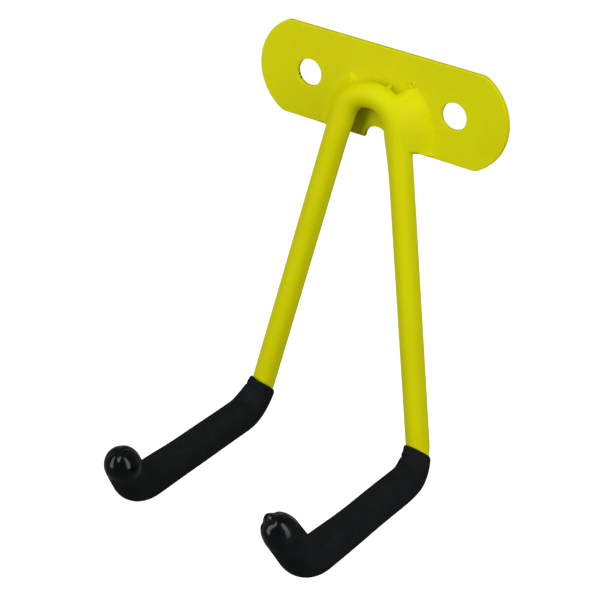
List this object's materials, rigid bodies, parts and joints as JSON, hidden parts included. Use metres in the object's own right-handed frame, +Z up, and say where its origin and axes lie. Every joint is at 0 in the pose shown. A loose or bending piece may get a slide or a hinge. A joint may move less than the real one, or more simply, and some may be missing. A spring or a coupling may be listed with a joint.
{
  "type": "bicycle wall rack",
  "caption": "Wall rack for a bicycle: a bent steel rod welded to a screw plate, with two padded hook arms and upturned tips.",
  "frame": {"origin": "middle of the plate's back face, in the wall plane, midway between the two screw holes", "axes": "+X along the plate, to the right when facing the wall; +Y into the wall, so the hooks stand out along -Y; +Z up"},
  "size_m": [0.116, 0.12, 0.1825],
  "materials": {
    "yellow_paint": "satin powder coat",
    "black_foam": "matte"
  },
  "bodies": {
    "root": {"wall_plate": "yellow_paint", "hook_rod": "yellow_paint", "weld_bead_left": "yellow_paint", "weld_bead_right": "yellow_paint", "sleeve_left": "black_foam", "sleeve_right": "black_foam"}
  },
  "joints": []
}
